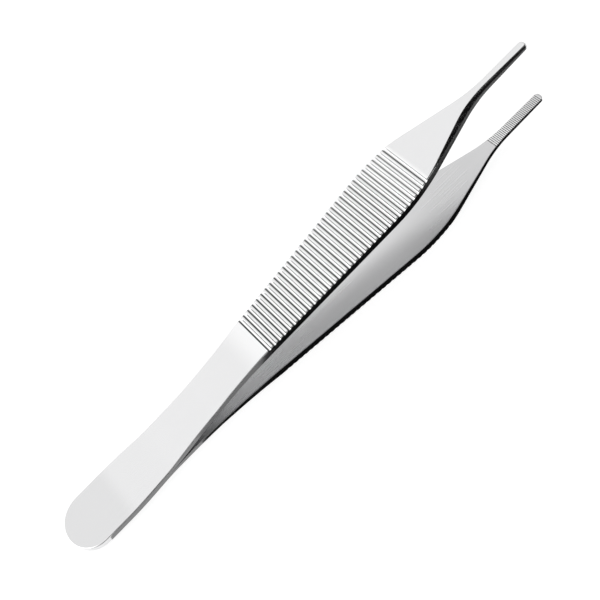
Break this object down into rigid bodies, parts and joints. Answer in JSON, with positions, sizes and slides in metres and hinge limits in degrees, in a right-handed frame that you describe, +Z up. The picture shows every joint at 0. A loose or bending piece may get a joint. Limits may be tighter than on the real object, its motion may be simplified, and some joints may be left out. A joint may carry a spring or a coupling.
{
  "type": "thumb forceps",
  "caption": "Spring-arm thumb forceps: two steel arms welded at a round flat heel, with ribbed thumb grips and narrow cross-toothed tips that close on what is held.",
  "frame": {"origin": "middle of the underside of the bounding box, on the surface that the forceps lie on", "axes": "+X from the heel towards the tips, +Y across the width of the arms, +Z up from the surface"},
  "size_m": [0.1208, 0.0126, 0.0204],
  "materials": {
    "satin_steel": "satin ground stainless steel, brighter along the worn edges"
  },
  "bodies": {
    "root": {"upper_arm": "satin_steel", "lower_arm": "satin_steel"}
  },
  "joints": []
}
